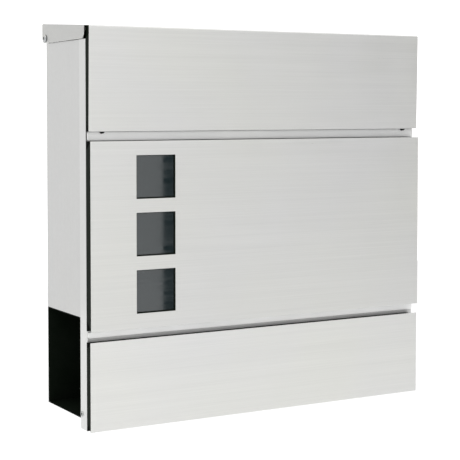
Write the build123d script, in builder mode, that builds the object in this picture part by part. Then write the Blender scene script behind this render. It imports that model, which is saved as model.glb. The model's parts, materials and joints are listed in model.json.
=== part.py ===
"""Wall mounted mailbox with a lift-up lid, a fold-down door and an open newspaper compartment.

Frame: the origin is the centre of the wall screw pattern on the wall's surface, +X to the right
as seen by someone facing the box, +Y into the wall, +Z up. Millimetres.

Inside the script most places are given by two measures that are easy to picture:
depth is the distance behind the door's front face, height is the distance above the lower edge
of the box. y_at() and z_at() turn them into the frame's coordinates.
"""

import os

from build123d import *

os.makedirs("parts", exist_ok=True)

# ---- driving dimensions ----------------------------------------------------------------------
box_width = 370.0
box_height = 370.0
box_depth = 105.0
wall_gap = 12.0

sheet = 0.8
skin = 0.6
half_width = box_width / 2

# wall screws
screw_spacing_x = 280.0
screw_spacing_z = 180.0
screw_hole_radius = 3.0
screw_centre_height = 235.0

# stack of front panels, from the bottom up
lower_panel_top = 82.2
door_bottom = 91.9
door_top = 265.2
lid_bottom = 274.0
lower_panel_depth = 1.6
lid_front_top_depth = 1.7

# housing
frame_depth = 10.0
frame_return = 14.0
frame_top = 358.0
side_face = half_width - sheet
side_inner = side_face - sheet
tray_front_depth = 26.3
tray_bottom = 9.0
tray_ceiling = 102.6
floor_top = 104.2
slot_bottom = 312.0
slot_top = 350.0
slot_half_width = 165.0
door_opening_half_width = 165.0
door_opening_top = 261.0
opening_corner = 4.0

# pans behind the skins
pan_half_width = half_width - 0.1
pan_rear_depth = 9.8
pan_chamfer = 8.0

# windows in the door
window = 40.2
window_pitch = 53.0
window_left = 46.0 - half_width
first_window_top = 252.0
window_count = 3

# hinges and lock
lid_pivot_depth = 99.5
lid_pivot_height = 362.0
door_pivot_depth = 4.4
door_pivot_height = 96.4
door_hinge_x = 165.0
lock_height = 287.0

# running fits
fit = 0.06
press = 0.02


# ---- small helpers ---------------------------------------------------------------------------
def y_at(depth):
    """Y of a place that is depth millimetres behind the door's front face."""
    return depth - box_depth - wall_gap


def z_at(height):
    """Z of a place that is height millimetres above the lower edge of the box."""
    return height - screw_centre_height


def front_plane(depth):
    """Upright plane facing the viewer, X to the right and Z up. Positive amounts come forward."""
    return Plane.XZ.offset(-y_at(depth))


def outline(left, right, low, high, corner=0.0):
    """Rectangle given by its sides, with rounded corners if corner is stated."""
    with BuildSketch() as shape:
        with Locations(((left + right) / 2, (low + high) / 2)):
            if corner > 0:
                RectangleRounded(right - left, high - low, corner)
            else:
                Rectangle(right - left, high - low)
    return shape.sketch


def side_outline(*places):
    """Polygon seen from the side, from (depth, height) places."""
    with BuildSketch() as shape:
        with BuildLine():
            Polyline([(y_at(depth), z_at(height)) for depth, height in places], close=True)
        make_face()
    return shape.sketch


def bent_sheet(places, bend, thickness, side):
    """Side view of a sheet bent along (depth, height) places, thickened to one side."""
    with BuildSketch() as shape:
        with BuildLine():
            FilletPolyline([(y_at(depth), z_at(height)) for depth, height in places], radius=bend)
            offset(amount=thickness, side=side)
        make_face()
    return shape.sketch


def channel_section(half, front, back, thickness, bend):
    """Plan view of a sheet bent to a U that opens towards the wall."""
    inner = half - thickness
    with BuildSketch() as shape:
        with BuildLine():
            FilletPolyline((-half, back), (-half, front), (half, front), (half, back), radius=bend)
            Line((half, back), (inner, back))
            FilletPolyline(
                (inner, back),
                (inner, front + thickness),
                (-inner, front + thickness),
                (-inner, back),
                radius=bend - thickness,
            )
            Line((-inner, back), (-half, back))
        make_face()
    return shape.sketch


def window_outlines(left_lip, right_lip, top_lip, bottom_lip):
    """The three square windows, each side drawn in by its lip."""
    with BuildSketch() as shape:
        for index in range(window_count):
            top = z_at(first_window_top - index * window_pitch)
            add(
                outline(
                    window_left + left_lip,
                    window_left + window - right_lip,
                    top - window + bottom_lip,
                    top - top_lip,
                )
            )
    return shape.sketch


def lid_front_depth(height):
    """Depth of the lid's outer front face, which leans in a little towards its lower edge."""
    lean = 1.75 / 96.0
    return lid_front_top_depth + (box_height - height) * lean


def lid_top_height(depth):
    """Height of the lid's outer top face, which falls towards the front to shed rain."""
    fall = 6.25 / 105.5
    return box_height + (depth - lid_front_depth(box_height)) * fall


# ---- housing ---------------------------------------------------------------------------------
back_panel_top = 371.0

with BuildPart() as back_panel:
    with BuildSketch(front_plane(box_depth - sheet)):
        add(outline(-side_face, side_face, z_at(tray_bottom), z_at(back_panel_top)))
        with GridLocations(screw_spacing_x, screw_spacing_z, 2, 2):
            Circle(screw_hole_radius, mode=Mode.SUBTRACT)
    extrude(amount=-sheet)
back_panel.part.label = "back_panel"
export_step(back_panel.part, "parts/back_panel.step")

# Rubber spacers hold the box off the wall, so that the lid's rear edge can swing down behind it.
spacer_radius = 11.0

with BuildPart() as wall_spacers:
    with BuildSketch(front_plane(box_depth)):
        with GridLocations(screw_spacing_x, screw_spacing_z, 2, 2):
            Circle(spacer_radius)
            Circle(screw_hole_radius, mode=Mode.SUBTRACT)
    extrude(amount=-wall_gap)
wall_spacers.part.label = "wall_spacers"
export_step(wall_spacers.part, "parts/wall_spacers.step")

# Each side wall stops above the newspaper opening, keeps a narrow leg along its front, and rises
# at the rear to an ear that carries the lid's pivot.
frame_bend = 1.0
frame_back_depth = frame_depth + sheet
wall_front_depth = frame_depth + frame_bend
wall_rear_depth = box_depth - sheet
ear_front_depth = 92.0
ear_top = 367.5
rivet_radius = 2.0

for side_name, sign in (("left", -1), ("right", 1)):
    with BuildPart() as side_wall:
        with BuildSketch(Plane.YZ.offset(sign * side_face)):
            add(
                side_outline(
                    (wall_front_depth, tray_bottom),
                    (tray_front_depth, tray_bottom),
                    (tray_front_depth, tray_ceiling),
                    (wall_rear_depth, tray_ceiling),
                    (wall_rear_depth, ear_top),
                    (ear_front_depth, ear_top),
                    (ear_front_depth, frame_top),
                    (wall_front_depth, frame_top),
                )
            )
            with Locations((y_at(lid_pivot_depth), z_at(lid_pivot_height))):
                Circle(rivet_radius + press, mode=Mode.SUBTRACT)
        extrude(amount=-sign * sheet)
    side_wall.part.label = "side_wall_" + side_name
    export_step(side_wall.part, "parts/side_wall_" + side_name + ".step")

# The front frame is one sheet bent round both front corners, with the letter slot behind the lid
# and the emptying opening behind the door.
lock_barrel_radius = 8.0
stud_radius = 2.0
stud_spacing_x = 300.0
stud_spacing_z = 44.0
stud_centre_height = 41.0
frame_rivet_depth = 21.0
frame_rivet_height = 14.0
frame_rivet_radius = 1.6

with BuildPart() as front_frame:
    with BuildSketch(Plane.XY.offset(z_at(0))):
        add(
            channel_section(
                half_width,
                y_at(frame_depth),
                y_at(frame_depth + frame_return),
                sheet,
                frame_bend,
            )
        )
    extrude(amount=frame_top)
    with BuildSketch(front_plane(frame_depth)):
        add(
            outline(
                -slot_half_width,
                slot_half_width,
                z_at(slot_bottom),
                z_at(slot_top),
                corner=opening_corner,
            )
        )
        add(
            outline(
                -door_opening_half_width,
                door_opening_half_width,
                z_at(floor_top),
                z_at(door_opening_top),
                corner=opening_corner,
            )
        )
        with Locations((0, z_at(lock_height))):
            Circle(lock_barrel_radius + press)
        with Locations((0, z_at(stud_centre_height))):
            with GridLocations(stud_spacing_x, stud_spacing_z, 2, 2):
                Circle(stud_radius + fit)
    extrude(amount=-sheet, mode=Mode.SUBTRACT)
    with BuildSketch(Plane.YZ):
        with Locations((y_at(frame_rivet_depth), z_at(frame_rivet_height))):
            Circle(frame_rivet_radius + press)
    extrude(amount=half_width, both=True, mode=Mode.SUBTRACT)
front_frame.part.label = "front_frame"
export_step(front_frame.part, "parts/front_frame.step")

# Roof and floor are sheets with a flange along their front and rear edges.
roof_flange = 12.0
roof_front_flange_low = slot_top + 1.0
bend = 1.6

with BuildPart() as roof_panel:
    with BuildSketch(Plane.YZ.offset(-side_inner)):
        add(
            bent_sheet(
                [
                    (wall_rear_depth, frame_top - roof_flange),
                    (wall_rear_depth, frame_top),
                    (frame_back_depth, frame_top),
                    (frame_back_depth, roof_front_flange_low),
                ],
                bend,
                sheet,
                Side.LEFT,
            )
        )
    extrude(amount=2 * side_inner)
roof_panel.part.label = "roof_panel"
export_step(roof_panel.part, "parts/roof_panel.step")

floor_rear_flange = 14.0
floor_front_flange = 12.0

with BuildPart() as mail_floor:
    with BuildSketch(Plane.YZ.offset(-side_inner)):
        add(
            bent_sheet(
                [
                    (wall_rear_depth, floor_top + floor_rear_flange),
                    (wall_rear_depth, floor_top - sheet),
                    (tray_front_depth, floor_top - sheet),
                ],
                bend,
                sheet,
                Side.RIGHT,
            )
        )
        add(
            bent_sheet(
                [
                    (tray_front_depth, floor_top),
                    (frame_back_depth, floor_top),
                    (frame_back_depth, floor_top - floor_front_flange),
                ],
                bend,
                sheet,
                Side.LEFT,
            )
        )
    extrude(amount=2 * side_inner)
mail_floor.part.label = "mail_floor"
export_step(mail_floor.part, "parts/mail_floor.step")

# The newspaper tray is a black sleeve, open at both ends, folded tightly at its corners.
tight_bend = 1.0

with BuildPart() as newspaper_tray:
    with BuildSketch(Plane.YZ.offset(-side_face)):
        add(
            outline(
                y_at(tray_front_depth),
                y_at(wall_rear_depth),
                z_at(tray_bottom),
                z_at(tray_ceiling),
                corner=tight_bend,
            )
        )
        add(
            outline(
                y_at(tray_front_depth + sheet),
                y_at(wall_rear_depth - sheet),
                z_at(tray_bottom + sheet),
                z_at(tray_ceiling - sheet),
                corner=tight_bend - sheet,
            ),
            mode=Mode.SUBTRACT,
        )
    extrude(amount=2 * side_face)
newspaper_tray.part.label = "newspaper_tray"
export_step(newspaper_tray.part, "parts/newspaper_tray.step")

# Rivets at the foot of the front frame, one on each side, join it to the side walls' legs.
rivet_head_radius = 2.6
rivet_head = 1.0

with BuildPart() as frame_rivets:
    for sign in (-1, 1):
        with BuildSketch(Plane.YZ.offset(sign * (half_width + rivet_head))):
            with Locations((y_at(frame_rivet_depth), z_at(frame_rivet_height))):
                Circle(rivet_head_radius)
        extrude(amount=-sign * rivet_head)
        with BuildSketch(Plane.YZ.offset(sign * half_width)):
            with Locations((y_at(frame_rivet_depth), z_at(frame_rivet_height))):
                Circle(frame_rivet_radius)
        extrude(amount=-sign * sheet)
frame_rivets.part.label = "frame_rivets"
export_step(frame_rivets.part, "parts/frame_rivets.step")

# Two flat rails fill the gaps between the front panels. The upper one is notched for the lid's
# rubber bumpers.
rail_thickness = 1.4
rail_corner = 2.0
rail_half_width = half_width - 0.8
bumper_radius = 2.0
bumper_x = 170.0
bumper_height = 274.1
notch_clearance = 0.2
upper_rail_low = 265.5
upper_rail_high = 273.8
lower_rail_low = 85.2
lower_rail_high = 90.9

with BuildPart() as upper_rail:
    with BuildSketch(front_plane(frame_depth)):
        add(
            outline(
                -rail_half_width,
                rail_half_width,
                z_at(upper_rail_low),
                z_at(upper_rail_high),
                corner=rail_corner,
            )
        )
        with Locations((-bumper_x, z_at(bumper_height)), (bumper_x, z_at(bumper_height))):
            Circle(bumper_radius + notch_clearance, mode=Mode.SUBTRACT)
    extrude(amount=rail_thickness)
upper_rail.part.label = "upper_rail"
export_step(upper_rail.part, "parts/upper_rail.step")

with BuildPart() as lower_rail:
    with BuildSketch(front_plane(frame_depth)):
        add(
            outline(
                -rail_half_width,
                rail_half_width,
                z_at(lower_rail_low),
                z_at(lower_rail_high),
                corner=rail_corner,
            )
        )
    extrude(amount=rail_thickness)
lower_rail.part.label = "lower_rail"
export_step(lower_rail.part, "parts/lower_rail.step")

# Rubber bumpers that the lid and the door close against.
lid_bumper_length = 4.4
door_bumper_length = 7.8
door_bumper_height = 255.0
bumper_edge = 0.8

with BuildPart() as lid_bumpers:
    with BuildSketch(front_plane(frame_depth)):
        with Locations((-bumper_x, z_at(bumper_height)), (bumper_x, z_at(bumper_height))):
            Circle(bumper_radius)
    extrude(amount=lid_bumper_length)
    fillet(lid_bumpers.faces().group_by(Axis.Y)[0].edges(), radius=bumper_edge)
lid_bumpers.part.label = "lid_bumpers"
export_step(lid_bumpers.part, "parts/lid_bumpers.step")

with BuildPart() as door_bumpers:
    with BuildSketch(front_plane(frame_depth)):
        with Locations((-bumper_x, z_at(door_bumper_height)), (bumper_x, z_at(door_bumper_height))):
            Circle(bumper_radius)
    extrude(amount=door_bumper_length)
    fillet(door_bumpers.faces().group_by(Axis.Y)[0].edges(), radius=bumper_edge)
door_bumpers.part.label = "door_bumpers"
export_step(door_bumpers.part, "parts/door_bumpers.step")

# ---- lower front panel -----------------------------------------------------------------------
with BuildPart() as lower_skin:
    with BuildSketch(front_plane(lower_panel_depth)):
        add(outline(-half_width, half_width, z_at(0), z_at(lower_panel_top)))
    extrude(amount=-skin)
lower_skin.part.label = "lower_skin"
export_step(lower_skin.part, "parts/lower_skin.step")

# Every pan is a plate with side returns whose ends are cut at 45 degrees. This one also has a
# flange along its top and its bottom.
lower_plate_depth = lower_panel_depth + skin
lower_pan_top = 81.8
lower_pan_bottom = 0.6

with BuildPart() as lower_pan:
    with BuildSketch(front_plane(lower_plate_depth)):
        add(outline(-pan_half_width, pan_half_width, z_at(lower_pan_bottom), z_at(lower_pan_top)))
        with Locations((0, z_at(stud_centre_height))):
            with GridLocations(stud_spacing_x, stud_spacing_z, 2, 2):
                Circle(stud_radius + press, mode=Mode.SUBTRACT)
    extrude(amount=-sheet)
    for sign in (-1, 1):
        with BuildSketch(Plane.YZ.offset(sign * pan_half_width)):
            add(
                side_outline(
                    (lower_plate_depth, lower_pan_bottom),
                    (frame_depth, lower_pan_bottom + pan_chamfer),
                    (frame_depth, lower_pan_top - pan_chamfer),
                    (lower_plate_depth, lower_pan_top),
                )
            )
        extrude(amount=-sign * sheet)
    for flange_low in (lower_pan_bottom, lower_pan_top - sheet):
        with BuildSketch(front_plane(lower_plate_depth)):
            add(
                outline(
                    -pan_half_width + pan_chamfer,
                    pan_half_width - pan_chamfer,
                    z_at(flange_low),
                    z_at(flange_low + sheet),
                )
            )
        extrude(amount=lower_plate_depth - pan_rear_depth)
lower_pan.part.label = "lower_pan"
export_step(lower_pan.part, "parts/lower_pan.step")

# Studs pressed into the lower pan pass through the frame and are held by nuts behind it.
stud_end_depth = 17.0
nut_thickness = 3.2
nut_across_flats = 7.0

with BuildPart() as lower_pan_studs:
    with BuildSketch(front_plane(lower_plate_depth)):
        with Locations((0, z_at(stud_centre_height))):
            with GridLocations(stud_spacing_x, stud_spacing_z, 2, 2):
                Circle(stud_radius)
    extrude(amount=lower_plate_depth - stud_end_depth)
lower_pan_studs.part.label = "lower_pan_studs"
export_step(lower_pan_studs.part, "parts/lower_pan_studs.step")

with BuildPart() as lower_pan_nuts:
    with BuildSketch(front_plane(frame_back_depth)):
        with Locations((0, z_at(stud_centre_height))):
            with GridLocations(stud_spacing_x, stud_spacing_z, 2, 2):
                RegularPolygon(nut_across_flats / 2, 6, major_radius=False)
                Circle(stud_radius + fit, mode=Mode.SUBTRACT)
    extrude(amount=-nut_thickness)
lower_pan_nuts.part.label = "lower_pan_nuts"
export_step(lower_pan_nuts.part, "parts/lower_pan_nuts.step")

# ---- lid -------------------------------------------------------------------------------------
# One sheet makes the lid's front, its top, a small lip along the rear and a cheek at each end.
cheek_face = half_width + 2.5
cheek_front_depth = 8.2
lid_rear_depth = 107.2
lid_lip = 8.0
cheek_front_low = 358.4
cheek_rear_low = 357.4
lid_bend = 1.6
lid_rear_top = lid_top_height(lid_rear_depth)
cheek_front_corner = 5.5
cheek_rear_corner = 5.5
hem_front_depth = cheek_front_depth + cheek_front_corner
hem_rear_depth = 92.0
hem_width = 1.5

# The top is wider than the front. This side view is what is cut from the sheet's ends to make it so.
cut_front_depth = -1.0
cut_low = lid_bottom - 1.0
cut_high = box_height + 2.0


def cheek_low(depth):
    """Height of the cheek's lower edge, which falls a little towards the rear."""
    share = (depth - cheek_front_depth) / (lid_rear_depth - cheek_front_depth)
    return cheek_front_low + (cheek_rear_low - cheek_front_low) * share


with BuildPart() as lid_cover:
    with BuildSketch(Plane.YZ.offset(-cheek_face)):
        add(
            bent_sheet(
                [
                    (lid_rear_depth, lid_rear_top - lid_lip),
                    (lid_rear_depth, lid_rear_top),
                    (lid_front_depth(box_height), box_height),
                    (lid_front_depth(lid_bottom), lid_bottom),
                ],
                lid_bend,
                skin,
                Side.LEFT,
            )
        )
    extrude(amount=2 * cheek_face)
    for sign in (-1, 1):
        with BuildSketch(Plane.YZ.offset(sign * cheek_face)):
            add(
                side_outline(
                    (cut_front_depth, cut_low),
                    (cheek_front_depth, cut_low),
                    (cheek_front_depth, cut_high),
                    (cut_front_depth, cut_high),
                )
            )
        extrude(amount=-sign * (cheek_face - half_width), mode=Mode.SUBTRACT)
        with BuildSketch(Plane.YZ.offset(sign * cheek_face)) as cheek:
            add(
                side_outline(
                    (cheek_front_depth, lid_top_height(cheek_front_depth)),
                    (lid_rear_depth, lid_rear_top),
                    (lid_rear_depth, cheek_rear_low),
                    (cheek_front_depth, cheek_front_low),
                )
            )
            low_rear = cheek.vertices().sort_by(Axis.Y)[:2].sort_by(Axis.X)[-1]
            fillet(low_rear, radius=cheek_rear_corner)
            low_front = cheek.vertices().sort_by(Axis.X)[:2].sort_by(Axis.Y)[0]
            fillet(low_front, radius=cheek_front_corner)
            fillet(cheek.vertices().sort_by(Axis.Y)[-1], radius=lid_bend)
            with Locations((y_at(lid_pivot_depth), z_at(lid_pivot_height))):
                Circle(rivet_radius + fit, mode=Mode.SUBTRACT)
        extrude(amount=-sign * skin)
        # The cheek's lower edge is turned in as a hem, up to the pivot's washer.
        with BuildSketch(Plane.YZ.offset(sign * cheek_face)):
            add(
                side_outline(
                    (hem_front_depth, cheek_low(hem_front_depth)),
                    (hem_rear_depth, cheek_low(hem_rear_depth)),
                    (hem_rear_depth, cheek_low(hem_rear_depth) + skin),
                    (hem_front_depth, cheek_low(hem_front_depth) + skin),
                )
            )
        extrude(amount=-sign * (skin + hem_width))
lid_cover.part.label = "lid_cover"
export_step(lid_cover.part, "parts/lid_cover.step")

# The black pan inside the lid lies against the front sheet and turns back under the top. Its side
# returns reach right up into that corner.
lid_pan_gap = 0.05
lid_pan_corner_height = box_height - skin - lid_pan_gap
lid_pan_corner_depth = lid_front_depth(lid_pan_corner_height) + skin + lid_pan_gap
lid_pan_low = lid_bottom + 0.6
lid_pan_low_depth = lid_front_depth(lid_pan_low) + skin + lid_pan_gap
lid_pan_top_rear_depth = 88.0
lid_pan_top_rear_height = lid_top_height(lid_pan_top_rear_depth) - skin - lid_pan_gap
lid_return_top_height = lid_top_height(pan_rear_depth) - skin - lid_pan_gap - sheet / 2

with BuildPart() as lid_pan:
    with BuildSketch(Plane.YZ.offset(-pan_half_width)):
        add(
            bent_sheet(
                [
                    (lid_pan_top_rear_depth, lid_pan_top_rear_height),
                    (lid_pan_corner_depth, lid_pan_corner_height),
                    (lid_pan_low_depth, lid_pan_low),
                ],
                tight_bend,
                sheet,
                Side.LEFT,
            )
        )
    extrude(amount=2 * pan_half_width)
    for sign in (-1, 1):
        with BuildSketch(Plane.YZ.offset(sign * pan_half_width)):
            add(
                side_outline(
                    (lid_pan_low_depth + sheet / 2, lid_pan_low),
                    (pan_rear_depth, lid_pan_low + pan_chamfer),
                    (pan_rear_depth, lid_return_top_height),
                    (lid_pan_corner_depth + tight_bend, lid_pan_corner_height - sheet / 2),
                    (lid_pan_corner_depth + sheet / 2, lid_pan_corner_height - tight_bend),
                )
            )
        extrude(amount=-sign * sheet)
lid_pan.part.label = "lid_pan"
export_step(lid_pan.part, "parts/lid_pan.step")

# The lid turns on two rivets through the side walls' ears, each with a washer behind the cheek.
pivot_head_radius = 3.6
pivot_head = 1.4
pivot_head_edge = 0.9
head_clearance = 0.3
washer_radius = 4.4
washer_clearance = 0.4
cheek_inner = cheek_face - skin

with BuildPart() as lid_hinge_rivets:
    for sign in (-1, 1):
        with BuildSketch(Plane.YZ.offset(sign * side_inner)):
            with Locations((y_at(lid_pivot_depth), z_at(lid_pivot_height))):
                Circle(pivot_head_radius)
        extrude(amount=-sign * pivot_head)
        with BuildSketch(Plane.YZ.offset(sign * side_inner)):
            with Locations((y_at(lid_pivot_depth), z_at(lid_pivot_height))):
                Circle(rivet_radius)
        extrude(amount=sign * (cheek_face + head_clearance - side_inner))
        with BuildSketch(Plane.YZ.offset(sign * (cheek_face + head_clearance))):
            with Locations((y_at(lid_pivot_depth), z_at(lid_pivot_height))):
                Circle(pivot_head_radius)
        extrude(amount=sign * pivot_head)
    for end in (0, -1):
        end_face = lid_hinge_rivets.faces().filter_by(Axis.X).sort_by(Axis.X)[end]
        fillet(end_face.edges(), radius=pivot_head_edge)
lid_hinge_rivets.part.label = "lid_hinge_rivets"
export_step(lid_hinge_rivets.part, "parts/lid_hinge_rivets.step")

with BuildPart() as lid_hinge_washers:
    for sign in (-1, 1):
        with BuildSketch(Plane.YZ.offset(sign * side_face)):
            with Locations((y_at(lid_pivot_depth), z_at(lid_pivot_height))):
                Circle(washer_radius)
                Circle(rivet_radius + fit, mode=Mode.SUBTRACT)
        extrude(amount=sign * (cheek_inner - washer_clearance - side_face))
lid_hinge_washers.part.label = "lid_hinge_washers"
export_step(lid_hinge_washers.part, "parts/lid_hinge_washers.step")

# ---- door ------------------------------------------------------------------------------------
with BuildPart() as door_skin:
    with BuildSketch(front_plane(0)):
        add(outline(-half_width, half_width, z_at(door_bottom), z_at(door_top)))
        add(window_outlines(0, 0, 0, 0), mode=Mode.SUBTRACT)
    extrude(amount=-skin)
door_skin.part.label = "door_skin"
export_step(door_skin.part, "parts/door_skin.step")

# The pan's window openings are a little smaller than the skin's and leave a black lip.
door_pan_low = door_bottom + 0.5
door_pan_high = door_top - 0.5
door_pan_back = skin + sheet
lip_left = 0.3
lip_right = 1.3
lip_top = 0.5
lip_bottom = 1.3
swing_room = 1.5

with BuildPart() as door_pan:
    with BuildSketch(front_plane(skin)):
        add(outline(-pan_half_width, pan_half_width, z_at(door_pan_low), z_at(door_pan_high)))
        add(window_outlines(lip_left, lip_right, lip_top, lip_bottom), mode=Mode.SUBTRACT)
    extrude(amount=-sheet)
    for sign in (-1, 1):
        with BuildSketch(Plane.YZ.offset(sign * pan_half_width)):
            add(
                side_outline(
                    (skin, door_pan_low),
                    (pan_rear_depth, door_pan_low + pan_chamfer + swing_room),
                    (pan_rear_depth, door_pan_high - pan_chamfer),
                    (skin, door_pan_high),
                )
            )
        extrude(amount=-sign * sheet)
door_pan.part.label = "door_pan"
export_step(door_pan.part, "parts/door_pan.step")

# One smoked acrylic pane lies behind all three windows, held by a strip along each long edge.
pane_thickness = 2.0
pane_overlap = 5.0
pane_corner = 1.0
pane_left = window_left - pane_overlap
pane_right = window_left + window + pane_overlap
pane_low = first_window_top - (window_count - 1) * window_pitch - window - pane_overlap
pane_high = first_window_top + pane_overlap

with BuildPart() as window_pane:
    with BuildSketch(front_plane(door_pan_back)):
        add(
            outline(pane_left, pane_right, z_at(pane_low), z_at(pane_high), corner=pane_corner)
        )
    extrude(amount=-pane_thickness)
window_pane.part.label = "window_pane"
export_step(window_pane.part, "parts/window_pane.step")

strip_foot = 1.6
strip_lip = 3.4
strip_gap = 0.3

with BuildPart() as pane_strips:
    for edge, outward in ((pane_left, -1), (pane_right, 1)):
        foot_inner = edge + outward * strip_gap
        foot_outer = foot_inner + outward * strip_foot
        lip_inner = edge - outward * strip_lip
        pane_back = y_at(door_pan_back + pane_thickness)
        with BuildSketch(Plane.XY.offset(z_at(pane_low))):
            with BuildLine():
                Polyline(
                    (foot_inner, y_at(door_pan_back)),
                    (foot_outer, y_at(door_pan_back)),
                    (foot_outer, pane_back + sheet),
                    (lip_inner, pane_back + sheet),
                    (lip_inner, pane_back),
                    (foot_inner, pane_back),
                    close=True,
                )
            make_face()
        extrude(amount=pane_high - pane_low)
pane_strips.part.label = "pane_strips"
export_step(pane_strips.part, "parts/pane_strips.step")

# The keeper reaches back through the opening and turns up behind the lock's cam.
keeper_sheet = 1.2
keeper_bend = 2.0
keeper_half_width = 13.0
keeper_low = 236.0
keeper_shelf = 249.0
keeper_top = 257.0
keeper_rear_depth = 31.8

with BuildPart() as lock_keeper:
    with BuildSketch(Plane.YZ.offset(-keeper_half_width)):
        add(
            bent_sheet(
                [
                    (door_pan_back + keeper_sheet, keeper_low),
                    (door_pan_back + keeper_sheet, keeper_shelf),
                    (keeper_rear_depth, keeper_shelf),
                    (keeper_rear_depth, keeper_top),
                ],
                keeper_bend,
                keeper_sheet,
                Side.LEFT,
            )
        )
    extrude(amount=2 * keeper_half_width)
lock_keeper.part.label = "lock_keeper"
export_step(lock_keeper.part, "parts/lock_keeper.step")

# ---- door hinge ------------------------------------------------------------------------------
# Each hinge is a bracket on the frame between two lugs on the door's pan, with a pin through all.
pin_radius = 1.4
lug_radius = 2.3
bracket_thickness = 2.0
lug_thickness = 1.5
lug_side_gap = 0.5
bracket_base_half = 8.0
bracket_base_low = door_pivot_height
bracket_base_high = 103.6
bracket_corner = 1.5

with BuildPart() as frame_hinge_brackets:
    for sign in (-1, 1):
        with BuildSketch(front_plane(frame_depth)):
            add(
                outline(
                    sign * door_hinge_x - bracket_base_half,
                    sign * door_hinge_x + bracket_base_half,
                    z_at(bracket_base_low),
                    z_at(bracket_base_high),
                    corner=bracket_corner,
                )
            )
        extrude(amount=sheet)
        with BuildSketch(Plane.YZ.offset(sign * door_hinge_x)):
            add(
                side_outline(
                    (door_pivot_depth, door_pivot_height - lug_radius),
                    (frame_depth, bracket_base_low),
                    (frame_depth, bracket_base_high),
                    (door_pivot_depth, door_pivot_height + lug_radius),
                )
            )
            with Locations((y_at(door_pivot_depth), z_at(door_pivot_height))):
                Circle(lug_radius)
                Circle(pin_radius + press, mode=Mode.SUBTRACT)
        extrude(amount=bracket_thickness / 2, both=True)
frame_hinge_brackets.part.label = "frame_hinge_brackets"
export_step(frame_hinge_brackets.part, "parts/frame_hinge_brackets.step")

lug_offset = bracket_thickness / 2 + lug_side_gap + lug_thickness / 2
lug_base_half = 3.0

with BuildPart() as door_hinge_lugs:
    for sign in (-1, 1):
        for side in (-1, 1):
            lug_x = sign * door_hinge_x + side * lug_offset
            with BuildSketch(Plane.YZ.offset(lug_x)):
                add(
                    side_outline(
                        (door_pan_back, door_pivot_height - lug_base_half),
                        (door_pivot_depth, door_pivot_height - lug_radius),
                        (door_pivot_depth, door_pivot_height + lug_radius),
                        (door_pan_back, door_pivot_height + lug_base_half),
                    )
                )
                with Locations((y_at(door_pivot_depth), z_at(door_pivot_height))):
                    Circle(lug_radius)
                    Circle(pin_radius + fit, mode=Mode.SUBTRACT)
            extrude(amount=lug_thickness / 2, both=True)
door_hinge_lugs.part.label = "door_hinge_lugs"
export_step(door_hinge_lugs.part, "parts/door_hinge_lugs.step")

pin_stand_out = 0.6
pin_half_length = lug_offset + lug_thickness / 2 + pin_stand_out
pin_head_radius = 2.2
pin_head = 0.8

with BuildPart() as door_hinge_pins:
    for sign in (-1, 1):
        with BuildSketch(Plane.YZ.offset(sign * door_hinge_x)):
            with Locations((y_at(door_pivot_depth), z_at(door_pivot_height))):
                Circle(pin_radius)
        extrude(amount=pin_half_length, both=True)
        with BuildSketch(Plane.YZ.offset(sign * (door_hinge_x + pin_half_length))):
            with Locations((y_at(door_pivot_depth), z_at(door_pivot_height))):
                Circle(pin_head_radius)
        extrude(amount=sign * pin_head)
door_hinge_pins.part.label = "door_hinge_pins"
export_step(door_hinge_pins.part, "parts/door_hinge_pins.step")

# ---- lock ------------------------------------------------------------------------------------
# A cam lock sits in the frame behind the lid. At rest its cam lies level, clear of the keeper.
lock_head_radius = 9.5
lock_head = 1.6
plug_radius = 5.0
barrel_end_depth = 27.0
tail_square = 6.0
cam_thickness = 2.0
cam_front_depth = 27.6
cam_width = 12.0
cam_length = 36.0
keyway_width = 1.6
keyway_height = 7.0
keyway_depth = 9.0
lock_nut_thickness = 4.0
lock_nut_across_flats = 21.0

with BuildPart() as lock_body:
    with BuildSketch(front_plane(frame_depth - lock_head)):
        with Locations((0, z_at(lock_height))):
            Circle(lock_head_radius)
    extrude(amount=-lock_head)
    with BuildSketch(front_plane(frame_depth)):
        with Locations((0, z_at(lock_height))):
            Circle(lock_barrel_radius)
    extrude(amount=frame_depth - barrel_end_depth)
    with BuildSketch(front_plane(frame_depth - lock_head)):
        with Locations((0, z_at(lock_height))):
            Circle(plug_radius + fit)
    extrude(amount=frame_depth - lock_head - barrel_end_depth, mode=Mode.SUBTRACT)
lock_body.part.label = "lock_body"
export_step(lock_body.part, "parts/lock_body.step")

with BuildPart() as lock_nut:
    with BuildSketch(front_plane(frame_back_depth)):
        with Locations((0, z_at(lock_height))):
            RegularPolygon(lock_nut_across_flats / 2, 6, major_radius=False)
            Circle(lock_barrel_radius + fit, mode=Mode.SUBTRACT)
    extrude(amount=-lock_nut_thickness)
lock_nut.part.label = "lock_nut"
export_step(lock_nut.part, "parts/lock_nut.step")

with BuildPart() as lock_plug:
    with BuildSketch(front_plane(frame_depth - lock_head)):
        with Locations((0, z_at(lock_height))):
            Circle(plug_radius)
    extrude(amount=frame_depth - lock_head - cam_front_depth)
    with BuildSketch(front_plane(cam_front_depth)):
        with Locations((0, z_at(lock_height))):
            Rectangle(tail_square, tail_square)
    extrude(amount=-cam_thickness)
    with BuildSketch(front_plane(frame_depth - lock_head)):
        with Locations((0, z_at(lock_height))):
            Rectangle(keyway_width, keyway_height)
    extrude(amount=-keyway_depth, mode=Mode.SUBTRACT)
lock_plug.part.label = "lock_plug"
export_step(lock_plug.part, "parts/lock_plug.step")

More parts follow.
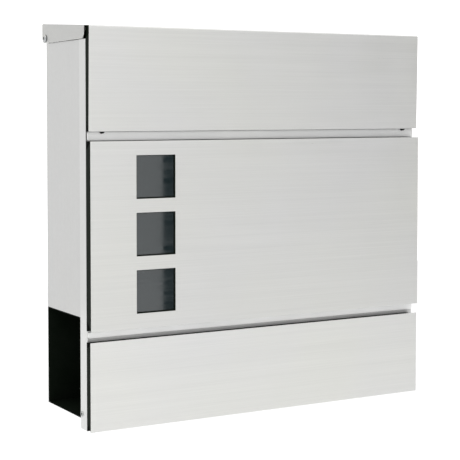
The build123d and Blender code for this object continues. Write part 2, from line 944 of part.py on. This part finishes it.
with BuildPart() as lock_cam:
    with BuildSketch(front_plane(cam_front_depth)):
        with Locations((cam_length / 2 - cam_width / 4, z_at(lock_height))):
            SlotOverall(cam_length + cam_width / 2, cam_width)
        with Locations((0, z_at(lock_height))):
            Rectangle(tail_square + 2 * fit, tail_square + 2 * fit, mode=Mode.SUBTRACT)
    extrude(amount=-cam_thickness)
lock_cam.part.label = "lock_cam"
export_step(lock_cam.part, "parts/lock_cam.step")

cam_screw_radius = 4.4
cam_screw_head = 0.9
cam_screw_edge = 0.5

with BuildPart() as cam_screw:
    with BuildSketch(front_plane(cam_front_depth + cam_thickness)):
        with Locations((0, z_at(lock_height))):
            Circle(cam_screw_radius)
    extrude(amount=-cam_screw_head)
    fillet(cam_screw.faces().sort_by(Axis.Y)[-1].edges(), radius=cam_screw_edge)
cam_screw.part.label = "cam_screw"
export_step(cam_screw.part, "parts/cam_screw.step")
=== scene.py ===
"""Looks of the wall mounted mailbox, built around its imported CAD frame."""

import json
from math import cos, pi, radians, sin

import bmesh
import bpy
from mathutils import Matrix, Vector

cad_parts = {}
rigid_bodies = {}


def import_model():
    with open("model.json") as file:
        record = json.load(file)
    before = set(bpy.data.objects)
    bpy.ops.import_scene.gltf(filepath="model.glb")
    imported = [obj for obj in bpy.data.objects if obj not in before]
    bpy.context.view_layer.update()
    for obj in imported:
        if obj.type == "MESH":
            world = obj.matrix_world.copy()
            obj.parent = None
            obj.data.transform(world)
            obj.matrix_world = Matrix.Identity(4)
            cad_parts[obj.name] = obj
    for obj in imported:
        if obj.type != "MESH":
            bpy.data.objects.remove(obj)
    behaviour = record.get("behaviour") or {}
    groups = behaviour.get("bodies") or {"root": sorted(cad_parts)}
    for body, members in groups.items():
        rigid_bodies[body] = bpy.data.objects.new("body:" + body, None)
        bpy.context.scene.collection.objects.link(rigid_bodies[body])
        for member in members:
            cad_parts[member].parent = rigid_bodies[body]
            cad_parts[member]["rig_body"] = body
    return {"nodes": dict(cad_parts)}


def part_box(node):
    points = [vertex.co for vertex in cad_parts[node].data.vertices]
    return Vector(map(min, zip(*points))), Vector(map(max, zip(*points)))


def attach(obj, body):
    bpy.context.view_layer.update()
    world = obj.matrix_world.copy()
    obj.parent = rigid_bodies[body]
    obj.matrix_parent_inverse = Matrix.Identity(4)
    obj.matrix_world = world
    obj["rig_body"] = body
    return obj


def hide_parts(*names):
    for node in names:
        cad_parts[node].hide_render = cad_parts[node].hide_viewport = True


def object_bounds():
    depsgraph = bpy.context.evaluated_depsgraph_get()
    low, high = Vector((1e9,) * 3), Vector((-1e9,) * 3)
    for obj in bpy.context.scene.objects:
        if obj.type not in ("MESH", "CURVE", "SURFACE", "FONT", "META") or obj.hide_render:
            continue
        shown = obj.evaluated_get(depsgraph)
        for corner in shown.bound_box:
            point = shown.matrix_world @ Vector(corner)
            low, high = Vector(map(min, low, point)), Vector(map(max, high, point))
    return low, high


MM = 0.001
sheet = 0.8 * MM      # thickness of the front frame's sheet
hairline = 0.05 * MM  # keeps a limit just off the face that it is meant to take in

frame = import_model()
cad_low, cad_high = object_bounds()
nodes = frame["nodes"]

door_low, door_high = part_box("door_skin")
lower_low, lower_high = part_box("lower_skin")
frame_low, frame_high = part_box("front_frame")
rail_low, rail_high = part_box("upper_rail")
lid_front_low, lid_front_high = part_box("lid_cover")
pane_low, pane_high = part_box("window_pane")


# ---- material building blocks ----------------------------------------------------------------
class Finish:
    """One procedural material, with short ways to add the nodes that feed its shader."""

    def __init__(self, name):
        self.material = bpy.data.materials.new(name)
        self.material.use_nodes = True
        self.tree = self.material.node_tree
        self.shader = self.tree.nodes["Principled BSDF"]
        self.place = self.add("ShaderNodeTexCoord").outputs["Object"]

    def add(self, kind, inputs=None, **settings):
        node = self.tree.nodes.new(kind)
        for name, value in settings.items():
            setattr(node, name, value)
        for name, value in (inputs or {}).items():
            self.feed(node, name, value)
        return node

    def feed(self, node, name, value):
        if isinstance(value, bpy.types.NodeSocket):
            self.tree.links.new(value, node.inputs[name])
        else:
            node.inputs[name].default_value = value

    def set(self, **inputs):
        """Feeds the shader. Underscores in the names stand for spaces."""
        for name, value in inputs.items():
            self.feed(self.shader, name.replace("_", " "), value)

    def math(self, operation, first, second=0.0):
        return self.add("ShaderNodeMath", {0: first, 1: second}, operation=operation).outputs[0]

    def noise(self, stretch, detail=2.0, roughness=0.5, shift=0.0):
        """Noise from 0 to 1. stretch is how many cells it has per metre along X, Y and Z."""
        mapping = self.add(
            "ShaderNodeMapping",
            {"Vector": self.place, "Scale": stretch, "Location": (shift, shift, shift)},
        )
        noise = self.add(
            "ShaderNodeTexNoise",
            {
                "Vector": mapping.outputs["Vector"],
                "Scale": 1.0,
                "Detail": detail,
                "Roughness": roughness,
            },
        )
        return noise.outputs["Fac"]

    def span(self, factor, low, high, start=0.3, end=0.7):
        """Value that runs from low to high as factor goes from start to end."""
        node = self.add(
            "ShaderNodeMapRange",
            {"Value": factor, "From Min": start, "From Max": end, "To Min": low, "To Max": high},
        )
        return node.outputs["Result"]

    def blend(self, factor, first, second, mode="MIX"):
        """Colour between first and second."""
        node = self.add("ShaderNodeMix", data_type="RGBA", blend_type=mode)
        self.feed(node, "Factor", factor)
        for socket, value in ((node.inputs[6], first), (node.inputs[7], second)):
            if isinstance(value, bpy.types.NodeSocket):
                self.tree.links.new(value, socket)
            else:
                socket.default_value = (*value, 1.0)
        return node.outputs[2]

    def bump(self, height, distance, strength):
        node = self.add(
            "ShaderNodeBump", {"Height": height, "Distance": distance, "Strength": strength}
        )
        return node.outputs["Normal"]

    def edge_mask(self, radius):
        """1 along the part's edges and 0 on its flats."""
        rounded = self.add("ShaderNodeBevel", {"Radius": radius}, samples=4)
        geometry = self.add("ShaderNodeNewGeometry")
        same = self.add(
            "ShaderNodeVectorMath",
            {0: rounded.outputs["Normal"], 1: geometry.outputs["Normal"]},
            operation="DOT_PRODUCT",
        )
        return self.span(same.outputs["Value"], 1.0, 0.0, start=0.8, end=0.995)

    def between(self, axis, low, high):
        """1 where the object's X, Y or Z lies between low and high, 0 elsewhere."""
        parts = self.add("ShaderNodeSeparateXYZ", {"Vector": self.place})
        above = self.math("GREATER_THAN", parts.outputs[axis], low)
        below = self.math("LESS_THAN", parts.outputs[axis], high)
        return self.math("MULTIPLY", above, below)

    def choose(self, factor, first, second):
        """Number between first and second."""
        node = self.add("ShaderNodeMix", {"Factor": factor}, data_type="FLOAT")
        self.feed(node, 2, first)
        self.feed(node, 3, second)
        return node.outputs[0]

    def faces_sideways(self):
        """1 on faces that look along X, 0 on the others. No joint turns a face in or out of that."""
        geometry = self.add("ShaderNodeNewGeometry")
        parts = self.add("ShaderNodeSeparateXYZ", {"Vector": geometry.outputs["Normal"]})
        return self.math("GREATER_THAN", self.math("ABSOLUTE", parts.outputs["X"]), 0.7)


# ---- materials -------------------------------------------------------------------------------
def brushed_steel(
    name, cool, warm, grain, turned_grain, roughness, tangent, turned_tangent, sideways_painted_shade
):
    """Stainless sheet with fine parallel brush marks.

    grain is how many marks there are per metre along each axis. The turned values are for faces
    that look along X.
    """
    f = Finish(name)
    sideways = f.faces_sideways()
    fine = f.choose(
        sideways,
        f.noise(grain, detail=3.0, roughness=0.6),
        f.noise(turned_grain, detail=3.0, roughness=0.6),
    )
    broad = f.noise([cells * 0.12 for cells in grain], detail=2.0, shift=3.0)
    cloud = f.noise((7.0, 7.0, 7.0), detail=3.0, shift=11.0)
    smudge = f.noise((26.0, 26.0, 26.0), detail=4.0, roughness=0.62, shift=21.0)
    edges = f.edge_mask(0.5 * MM)

    streaks = f.span(fine, 0.962, 1.030)
    bands = f.span(broad, 0.985, 1.012)
    shade = f.math("MULTIPLY", streaks, bands)
    # Painted shade: faces that look along X are painted darker by the turned shade factor.
    shade = f.math("MULTIPLY", shade, f.choose(sideways, 1.0, sideways_painted_shade))
    grey = f.add("ShaderNodeCombineColor", {"Red": shade, "Green": shade, "Blue": shade})
    colour = f.blend(f.span(cloud, 0.0, 1.0), cool, warm)
    colour = f.blend(1.0, colour, grey.outputs["Color"], mode="MULTIPLY")
    # Painted highlight: the edges are painted a light grey, as the bright lines that light draws
    # along them.
    colour = f.blend(f.math("MULTIPLY", edges, 0.85), colour, (0.93, 0.93, 0.92))

    rough = f.span(fine, roughness - 0.04, roughness + 0.05)
    rough = f.math("ADD", rough, f.span(smudge, -0.02, 0.03))
    rough = f.math("SUBTRACT", rough, f.math("MULTIPLY", edges, 0.08))

    f.set(
        Base_Color=colour,
        Roughness=rough,
        Metallic=1.0,
        Anisotropic=0.55,
        Anisotropic_Rotation=0.25,
        Normal=f.bump(fine, 0.03 * MM, 0.35),
    )
    direction = f.add("ShaderNodeCombineXYZ")
    for axis, plain, turned in zip("XYZ", tangent, turned_tangent):
        f.feed(direction, axis, f.choose(sideways, plain, turned))
    f.feed(f.shader, "Tangent", direction.outputs["Vector"])
    return f


def painted_light_strip(f, low, high, gain, foot_gain):
    """Paints light: makes the colour brighter where the object's Y lies between low and high.

    foot_gain is the gain below the door's foot. Just above that it passes into gain.
    """
    passage = 30 * MM
    colour = f.shader.inputs["Base Color"].links[0].from_socket
    parts = f.add("ShaderNodeSeparateXYZ", {"Vector": f.place})
    gain_here = f.span(
        parts.outputs["Z"], foot_gain, gain, start=door_low.z, end=door_low.z + passage
    )
    level = f.choose(f.between("Y", low, high), 1.0, gain_here)
    grey = f.add("ShaderNodeCombineColor", {"Red": level, "Green": level, "Blue": level})
    f.set(Base_Color=f.blend(1.0, colour, grey.outputs["Color"], mode="MULTIPLY"))


def painted_shade_front(f, low, high, bare_bands):
    """Paints shade: the steel is painted black where the object's Y lies between low and high.

    bare_bands are the (X from, Z from, Z to) places that stay bare.
    """
    shaded = f.between("Y", low, high)
    for band_left, band_low, band_high in bare_bands:
        bare = f.between("Z", band_low, band_high)
        bare = f.math("MULTIPLY", bare, f.between("X", band_left, frame_high.x + hairline))
        shaded = f.math("MULTIPLY", shaded, f.math("SUBTRACT", 1.0, bare))
    colour = f.shader.inputs["Base Color"].links[0].from_socket
    rough = f.shader.inputs["Roughness"].links[0].from_socket
    # Painted shade: the colour is a speckled near black on a matt non-metal surface.
    speckle = f.noise((1600.0, 1600.0, 1600.0), detail=2.0, shift=17.0)
    black = f.blend(f.span(speckle, 0.0, 1.0), (0.005, 0.006, 0.005), (0.010, 0.011, 0.010))
    f.set(
        Base_Color=f.blend(shaded, colour, black),
        Roughness=f.choose(shaded, rough, 0.6),
        Metallic=f.math("SUBTRACT", 1.0, shaded),
        Specular_IOR_Level=0.1,
    )


def powder_coat(name):
    """Black powder coat: an orange-peel skin with fine pits, a little dust and rubbed edges."""
    f = Finish(name)
    peel = f.noise((900.0, 900.0, 900.0), detail=2.0)
    grit = f.noise((3200.0, 3200.0, 3200.0), detail=1.0, shift=5.0)
    dust = f.noise((40.0, 40.0, 40.0), detail=5.0, roughness=0.65, shift=9.0)
    edges = f.edge_mask(0.4 * MM)
    colour = f.blend(f.span(dust, 0.0, 1.0), (0.0042, 0.0074, 0.0042), (0.0076, 0.0104, 0.0074))
    colour = f.blend(f.math("MULTIPLY", edges, 0.35), colour, (0.026, 0.027, 0.026))
    height = f.math("ADD", peel, f.math("MULTIPLY", grit, 0.35))
    f.set(
        Base_Color=colour,
        Roughness=f.math("ADD", f.span(dust, 0.48, 0.60), f.span(peel, -0.04, 0.04)),
        Specular_IOR_Level=0.03,
        Normal=f.bump(height, 0.08 * MM, 0.4),
    )
    return f.material


def moulded_rubber(name):
    """Matt black rubber with a grained skin and a faint bloom."""
    f = Finish(name)
    grain = f.noise((1800.0, 1800.0, 1800.0), detail=3.0)
    bloom = f.noise((120.0, 120.0, 120.0), detail=4.0, shift=4.0)
    f.set(
        Base_Color=f.blend(f.span(bloom, 0.0, 1.0), (0.012, 0.012, 0.012), (0.032, 0.032, 0.031)),
        Roughness=f.span(bloom, 0.66, 0.82),
        Specular_IOR_Level=0.3,
        Normal=f.bump(grain, 0.05 * MM, 0.5),
    )
    return f.material


def zinc_plating(name):
    """Zinc plated steel: a cool grey with the faint blue and straw clouds of its passivation."""
    f = Finish(name)
    cloud = f.noise((150.0, 150.0, 150.0), detail=4.0, roughness=0.6)
    tint = f.noise((60.0, 60.0, 60.0), detail=2.0, shift=7.0)
    grain = f.noise((1500.0, 1500.0, 1500.0), detail=2.0, shift=2.0)
    edges = f.edge_mask(0.3 * MM)
    colour = f.blend(f.span(tint, 0.0, 1.0), (0.42, 0.45, 0.48), (0.49, 0.47, 0.42))
    colour = f.blend(f.span(cloud, 0.0, 0.4), colour, (0.55, 0.56, 0.57))
    colour = f.blend(f.math("MULTIPLY", edges, 0.5), colour, (0.75, 0.75, 0.75))
    f.set(
        Base_Color=colour,
        Metallic=1.0,
        Roughness=f.span(cloud, 0.24, 0.42),
        Normal=f.bump(grain, 0.02 * MM, 0.3),
    )
    return f.material


def turned_nickel(name, centre):
    """Bright nickel with fine rings turned about the lock's axis, which runs along Y."""
    f = Finish(name)
    offset = f.add(
        "ShaderNodeVectorMath", {0: f.place, 1: tuple(centre)}, operation="SUBTRACT"
    ).outputs["Vector"]
    flat = f.add(
        "ShaderNodeVectorMath", {0: offset, 1: (1.0, 0.0, 1.0)}, operation="MULTIPLY"
    ).outputs["Vector"]
    radius = f.add("ShaderNodeVectorMath", {0: flat}, operation="LENGTH").outputs["Value"]
    ring_pitch = 0.35 * MM
    rings = f.math("SINE", f.math("MULTIPLY", radius, 2 * pi / ring_pitch))
    smudge = f.noise((300.0, 300.0, 300.0), detail=4.0)
    colour = f.blend(f.span(smudge, 0.0, 1.0), (0.66, 0.65, 0.62), (0.74, 0.73, 0.70))
    colour = f.blend(f.math("MULTIPLY", f.edge_mask(0.3 * MM), 0.6), colour, (0.85, 0.84, 0.82))
    f.set(
        Base_Color=colour,
        Metallic=1.0,
        Roughness=f.span(smudge, 0.12, 0.24),
        Normal=f.bump(f.span(rings, 0.0, 1.0, start=-1.0, end=1.0), 0.008 * MM, 0.35),
    )
    return f.material


def moulded_nylon(name):
    """Natural nylon, slightly translucent."""
    f = Finish(name)
    flow = f.noise((400.0, 400.0, 90.0), detail=3.0)
    f.set(
        Base_Color=f.blend(f.span(flow, 0.0, 1.0), (0.62, 0.61, 0.57), (0.72, 0.71, 0.67)),
        Roughness=f.span(flow, 0.38, 0.52),
        Subsurface_Weight=0.1,
        Normal=f.bump(flow, 0.03 * MM, 0.3),
    )
    return f.material


def smoked_acrylic(name):
    """Glossy smoked acrylic with faint wipe marks and a few dust specks."""
    f = Finish(name)
    wipe = f.noise((30.0, 30.0, 240.0), detail=4.0, roughness=0.6)
    specks = f.noise((900.0, 900.0, 900.0), detail=1.0, shift=6.0)
    dust = f.span(specks, 0.0, 1.0, start=0.72, end=0.78)
    colour = f.blend(f.span(wipe, 0.0, 1.0), (0.015, 0.025, 0.028), (0.022, 0.032, 0.035))
    colour = f.blend(f.math("MULTIPLY", dust, 0.3), colour, (0.30, 0.30, 0.29))
    f.set(
        Base_Color=colour,
        Roughness=f.math("ADD", f.span(wipe, 0.02, 0.06), f.math("MULTIPLY", dust, 0.3)),
        IOR=1.56,
        Specular_IOR_Level=1.0,
        Transmission_Weight=0.2,
        Normal=f.bump(wipe, 0.01 * MM, 0.1),
    )
    return f.material


brushes = 2200.0
along = 9.0
lying_grain = (along, brushes, brushes)
upright_grain = (brushes, brushes, along)
lying = (1.0, 0.02, 0.03)
upright = (0.02, 0.03, 1.0)
from_front = (0.02, 1.0, 0.03)

skin_steel = brushed_steel(
    "skin_steel",
    cool=(0.678, 0.678, 0.674),
    warm=(0.682, 0.684, 0.655),
    grain=lying_grain,
    turned_grain=(brushes, along, brushes),
    roughness=0.33,
    tangent=lying,
    turned_tangent=from_front,
    # Painted shade: the skin's faces that look along X, such as the lid's sides, are painted darker.
    sideways_painted_shade=0.70,
)
body_steel = brushed_steel(
    "body_steel",
    cool=(0.585, 0.588, 0.586),
    warm=(0.592, 0.592, 0.582),
    grain=lying_grain,
    turned_grain=upright_grain,
    roughness=0.38,
    tangent=lying,
    turned_tangent=upright,
    sideways_painted_shade=1.0,
)
# Painted reflection: the lower front sheet is painted a little brighter than the others, as the pale
# floor's reflection in it.
painted_light_strip(
    skin_steel, lower_low.y - hairline, lid_front_high.y, gain=1.0, foot_gain=1.065
)
# The frame's front is painted black behind the panels, as painted shade of the narrow dark gaps
# behind them, and left bare in the gaps between them. The lower gap's bare band goes a little way
# down behind the lower panel, and further down once it is past the panel's left corner.
shade_depth = 0.5 * MM
bare_below_edge = 0.5 * MM
bare_below_panel = 4 * MM
corner_width = 12 * MM
painted_shade_front(
    body_steel,
    frame_low.y - hairline,
    frame_low.y + shade_depth,
    [
        (frame_low.x - hairline, lower_high.z - bare_below_edge, door_low.z),
        (lower_low.x + corner_width, lower_high.z - bare_below_panel, door_low.z),
        (rail_low.x, door_high.z, lid_front_low.z),
    ],
)
# Painted light: the frame's sides and the two rails are painted brighter than the rest of the
# housing.
painted_light_strip(body_steel, frame_low.y, frame_high.y + hairline, gain=1.10, foot_gain=1.22)
painted_light_strip(
    body_steel, rail_low.y - hairline, rail_high.y - hairline, gain=1.28, foot_gain=1.42
)

lock_low, lock_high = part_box("lock_body")
finishes = {
    "brushed_skin": skin_steel.material,
    "housing_steel": body_steel.material,
    "black_coating": powder_coat("black_powder_coat"),
    "rubber": moulded_rubber("black_rubber"),
    "zinc_plate": zinc_plating("zinc_plating"),
    "lock_metal": turned_nickel("bright_nickel", (lock_low + lock_high) / 2),
    "nylon": moulded_nylon("natural_nylon"),
    "smoked_acrylic": smoked_acrylic("smoked_acrylic_pane"),
}


# ---- mesh building blocks --------------------------------------------------------------------
def slot_of(node_name):
    """The record's material slot that a CAD node has."""
    return nodes[node_name].data.materials[0].name.split(".")[0]


def add_piece(name, shape, stands_for, smooth_angle=40.0):
    """Turns a bmesh into a piece that stands for a CAD node and rides on that node's body."""
    shape.normal_update()
    mesh = bpy.data.meshes.new(name)
    shape.to_mesh(mesh)
    shape.free()
    mesh.shade_smooth()
    mesh.set_sharp_from_angle(angle=radians(smooth_angle))
    piece = bpy.data.objects.new(name, mesh)
    bpy.context.scene.collection.objects.link(piece)
    weighted = piece.modifiers.new("flat faces stay flat", "WEIGHTED_NORMAL")
    weighted.keep_sharp = True
    slot = slot_of(stands_for)
    mesh.materials.append(finishes[slot])
    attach(piece, nodes[stands_for]["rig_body"])
    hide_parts(stands_for)


def softened(node_name, radius):
    """Replaces a node with its own shape, its edges eased by a small radius."""
    source = bmesh.new()
    source.from_mesh(nodes[node_name].data)
    bmesh.ops.remove_doubles(source, verts=source.verts, dist=0.002 * MM)
    bmesh.ops.dissolve_limit(
        source, angle_limit=radians(0.4), verts=source.verts, edges=source.edges
    )
    shape = bmesh.new()
    corners = [shape.verts.new(vertex.co) for vertex in source.verts]
    source.verts.index_update()
    for face in source.faces:
        shape.faces.new([corners[vertex.index] for vertex in face.verts])
    source.free()
    shape.normal_update()
    sharp_angle = radians(32.0)
    sharp = [
        edge
        for edge in shape.edges
        if len(edge.link_faces) == 2 and edge.calc_face_angle() > sharp_angle
    ]
    bmesh.ops.bevel(
        shape,
        geom=sharp,
        offset=radius,
        offset_type="OFFSET",
        segments=2,
        profile=0.5,
        affect="EDGES",
        clamp_overlap=True,
    )
    bmesh.ops.dissolve_degenerate(shape, dist=0.001 * MM, edges=shape.edges)
    add_piece(node_name + "_eased", shape, node_name)


eased_edges = {
    0.30 * MM: ["door_skin", "lower_skin", "lid_cover", "upper_rail", "lower_rail"],
    0.20 * MM: [
        "back_panel",
        "side_wall_left",
        "side_wall_right",
        "front_frame",
        "roof_panel",
        "mail_floor",
        "newspaper_tray",
        "lower_pan",
        "door_pan",
        "lid_pan",
        "lock_keeper",
        "frame_hinge_brackets",
        "door_hinge_lugs",
        "lock_cam",
        "lid_hinge_washers",
    ],
    0.35 * MM: ["wall_spacers", "lock_body", "lock_nut", "lower_pan_nuts", "lower_pan_studs"],
    0.15 * MM: ["pane_strips", "window_pane", "lock_plug", "door_hinge_pins"],
}
for radius, names in eased_edges.items():
    for node_name in names:
        softened(node_name, radius)

# These small round pieces keep their CAD meshes.
for node_name in ("lid_bumpers", "door_bumpers", "cam_screw"):
    nodes[node_name].data.materials[0] = finishes[slot_of(node_name)]


# ---- pop rivets --------------------------------------------------------------------------------
def lathe(shape, centre, toward, profile, steps=48):
    """Adds a turned form to shape. It turns about X through centre.

    profile is a list of (distance along the axis, radius) places, and toward is +1 or -1, the
    side that distances count to.
    """
    rings = []
    for distance, radius in profile:
        x = centre.x + toward * distance
        if radius == 0:
            rings.append([shape.verts.new((x, centre.y, centre.z))])
            continue
        ring = []
        for step in range(steps):
            angle = 2 * pi * step / steps
            y = centre.y + radius * cos(angle)
            z = centre.z + radius * sin(angle)
            ring.append(shape.verts.new((x, y, z)))
        rings.append(ring)
    for first, second in zip(rings, rings[1:]):
        for step in range(steps):
            following = (step + 1) % steps
            corners = [
                first[step % len(first)],
                first[following % len(first)],
                second[following % len(second)],
                second[step % len(second)],
            ]
            distinct = list(dict.fromkeys(corners))
            shape.faces.new(distinct)


def pop_rivet(shape, centre, toward, length, head_radius, head, shank_radius):
    """Adds a pop rivet to shape, from its inner head at centre to its domed outer flange."""
    flange = length - head
    hollow_radius = 0.42 * head_radius
    hollow = 1.3 * head
    profile = [
        (0.0, 0.0),
        (0.0, head_radius * 0.75),
        (0.3 * head, head_radius),
        (head, head_radius),
        (head, shank_radius),
        (flange, shank_radius),
        (flange, head_radius),
        (flange + 0.25 * head, head_radius),
        (flange + 0.65 * head, head_radius * 0.88),
        (flange + 0.90 * head, head_radius * 0.66),
        (length, head_radius * 0.50),
        (length - 0.12 * head, hollow_radius),
        (length - hollow, hollow_radius),
        (length - hollow, 0.0),
    ]
    lathe(shape, centre, toward, profile)


def hinge_rivets():
    """The lid's two pop rivets, each with the hollow that the mandrel leaves."""
    low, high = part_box("lid_hinge_rivets")
    head = 1.4 * MM
    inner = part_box("side_wall_left")[1].x + head
    shape = bmesh.new()
    for toward in (-1, 1):
        centre = Vector((-toward * inner, (low.y + high.y) / 2, (low.z + high.z) / 2))
        pop_rivet(shape, centre, toward, inner - low.x, (high.y - low.y) / 2, head, 2.0 * MM)
    bmesh.ops.recalc_face_normals(shape, faces=shape.faces)
    add_piece("lid_hinge_rivets_turned", shape, "lid_hinge_rivets")


def foot_rivets():
    """The two pop rivets low on the frame's sides. Their shanks end inside the sheet."""
    low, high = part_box("frame_rivets")
    head = frame_low.x - low.x
    head_radius = (high.y - low.y) / 2
    shank_radius = 1.6 * MM
    shape = bmesh.new()
    for toward in (-1, 1):
        centre = Vector((-toward * low.x, (low.y + high.y) / 2, (low.z + high.z) / 2))
        profile = [
            (-head - sheet, 0.0),
            (-head - sheet, shank_radius),
            (-head, shank_radius),
            (-head, head_radius),
            (-0.7 * head, head_radius),
            (-0.3 * head, head_radius * 0.86),
            (0.0, head_radius * 0.62),
            (-0.1 * head, head_radius * 0.48),
            (-1.4 * head, head_radius * 0.48),
            (-1.4 * head, 0.0),
        ]
        lathe(shape, centre, toward, profile)
    bmesh.ops.recalc_face_normals(shape, faces=shape.faces)
    add_piece("frame_rivets_turned", shape, "frame_rivets")


hinge_rivets()
foot_rivets()


# ---- studio ----------------------------------------------------------------------------------
def stage_panel(name, corners, material):
    """A flat four-sided sheet that isn't part of the object."""
    mesh = bpy.data.meshes.new(name)
    mesh.from_pydata([tuple(corner) for corner in corners], [], [(0, 1, 2, 3)])
    mesh.materials.append(material)
    panel = bpy.data.objects.new(name, mesh)
    bpy.context.scene.collection.objects.link(panel)
    return panel


def pale_floor():
    """Matt and nearly white, with a faint mottle."""
    f = Finish("pale_floor")
    mottle = f.noise((2.0, 2.0, 2.0), detail=4.0)
    grain = f.noise((400.0, 400.0, 400.0), detail=2.0)
    f.set(
        Base_Color=f.blend(f.span(mottle, 0.0, 1.0), (0.90, 0.90, 0.90), (0.93, 0.93, 0.93)),
        Roughness=f.span(mottle, 0.75, 0.85),
        Specular_IOR_Level=0.2,
        Normal=f.bump(grain, 0.1 * MM, 0.2),
    )
    return f.material


def black_felt():
    """The flag's cloth."""
    f = Finish("black_felt")
    nap = f.noise((900.0, 900.0, 900.0), detail=3.0)
    f.set(
        Base_Color=f.blend(f.span(nap, 0.0, 1.0), (0.010, 0.010, 0.010), (0.020, 0.020, 0.020)),
        Roughness=0.9,
        Specular_IOR_Level=0.1,
    )
    return f.material


# The floor lies far enough down for a view from below.
floor_drop = 1.6
floor_half = 12.0
floor_z = cad_low.z - floor_drop
stage_panel(
    "floor",
    [
        (-floor_half, -floor_half, floor_z),
        (floor_half, -floor_half, floor_z),
        (floor_half, floor_half, floor_z),
        (-floor_half, floor_half, floor_z),
    ],
    pale_floor(),
)

# The camera stands in front of the box and to its left, a little above the middle.
camera_left_of_door = 0.4917
camera_before_door = 1.1074
camera_above_foot = 0.2955
camera_place = Vector(
    (
        door_low.x - camera_left_of_door,
        door_low.y - camera_before_door,
        lower_low.z + camera_above_foot,
    )
)

# A narrow black flag stands where the windows mirror it, so that they show a dark band down their
# right sides.
flag_distance = 1.5
flag_width = 0.038
flag_above_pane = 0.08
flag_below_pane = 0.30
band_from_right = 17.4 * MM
band_left = pane_high.x - band_from_right
reach = flag_distance / (pane_low.y - camera_place.y)
flag_left = band_left + (band_left - camera_place.x) * reach
flag_y = pane_low.y - flag_distance
flag_top = pane_high.z + flag_above_pane
flag_foot = pane_low.z - flag_below_pane
flag = stage_panel(
    "flag",
    [
        (flag_left, flag_y, flag_foot),
        (flag_left + flag_width, flag_y, flag_foot),
        (flag_left + flag_width, flag_y, flag_top),
        (flag_left, flag_y, flag_top),
    ],
    black_felt(),
)
flag.visible_camera = False

# How bright the tent is level with the box and overhead.
side_light = 1.09
top_light = 1.46

# Each dim patch of the tent: its turn from the front towards +X and its rise above level in degrees,
# how bright it is beside the rest, and the half angles in degrees where it starts and where it is
# full.
dim_patches = (
    (56.0, 0.0, 0.36, 33.0, 4.0),
    (-56.0, 0.0, 0.55, 40.0, 8.0),
    (135.0, 0.0, 0.60, 45.0, 8.0),
    (0.0, 90.0, 0.66, 36.0, 8.0),
)


def white_tent():
    """Light from all round, a little stronger from above, with patches that are dimmer."""
    world = bpy.data.worlds.new("white_tent")
    world.use_nodes = True
    nodes_of = world.node_tree.nodes
    links = world.node_tree.links
    place = nodes_of.new("ShaderNodeTexCoord").outputs["Generated"]
    parts = nodes_of.new("ShaderNodeSeparateXYZ")
    links.new(place, parts.inputs["Vector"])

    def spread(value, low, high, start, end):
        node = nodes_of.new("ShaderNodeMapRange")
        node.interpolation_type = "SMOOTHSTEP"
        for name, number in (
            ("From Min", start),
            ("From Max", end),
            ("To Min", low),
            ("To Max", high),
        ):
            node.inputs[name].default_value = number
        links.new(value, node.inputs["Value"])
        return node.outputs["Result"]

    def times(first, second):
        node = nodes_of.new("ShaderNodeMath")
        node.operation = "MULTIPLY"
        links.new(first, node.inputs[0])
        links.new(second, node.inputs[1])
        return node.outputs[0]

    strength = spread(parts.outputs["Z"], side_light, top_light, 0.05, 1.0)
    for turn, rise, level, starts, full in dim_patches:
        level_part = cos(radians(rise))
        toward = nodes_of.new("ShaderNodeVectorMath")
        toward.operation = "DOT_PRODUCT"
        toward.inputs[1].default_value = (
            sin(radians(turn)) * level_part,
            -cos(radians(turn)) * level_part,
            sin(radians(rise)),
        )
        links.new(place, toward.inputs[0])
        dim = spread(toward.outputs["Value"], 1.0, level, cos(radians(starts)), cos(radians(full)))
        strength = times(strength, dim)
    background = nodes_of["Background"]
    background.inputs["Color"].default_value = (1.0, 1.0, 1.0, 1.0)
    links.new(strength, background.inputs["Strength"])

    seen = nodes_of.new("ShaderNodeBackground")
    seen.inputs["Color"].default_value = (1.0, 1.0, 1.0, 1.0)
    seen.inputs["Strength"].default_value = top_light
    ray = nodes_of.new("ShaderNodeLightPath")
    either = nodes_of.new("ShaderNodeMixShader")
    links.new(ray.outputs["Is Camera Ray"], either.inputs["Fac"])
    links.new(background.outputs["Background"], either.inputs[1])
    links.new(seen.outputs["Background"], either.inputs[2])
    links.new(either.outputs["Shader"], nodes_of["World Output"].inputs["Surface"])
    return world


bpy.context.scene.world = white_tent()
bpy.context.scene.view_settings.view_transform = "Standard"

# ---- camera ----------------------------------------------------------------------------------
camera_turn = radians(29.89)
camera_tilt = radians(2.47)

camera_data = bpy.data.cameras.new("camera")
camera_data.lens = 104.9
camera_data.sensor_width = 36.0
camera_data.shift_y = -0.14
camera = bpy.data.objects.new("camera", camera_data)
camera.location = camera_place
camera.rotation_euler = (radians(90.0) - camera_tilt, 0.0, -camera_turn)
bpy.context.scene.collection.objects.link(camera)
bpy.context.scene.camera = camera
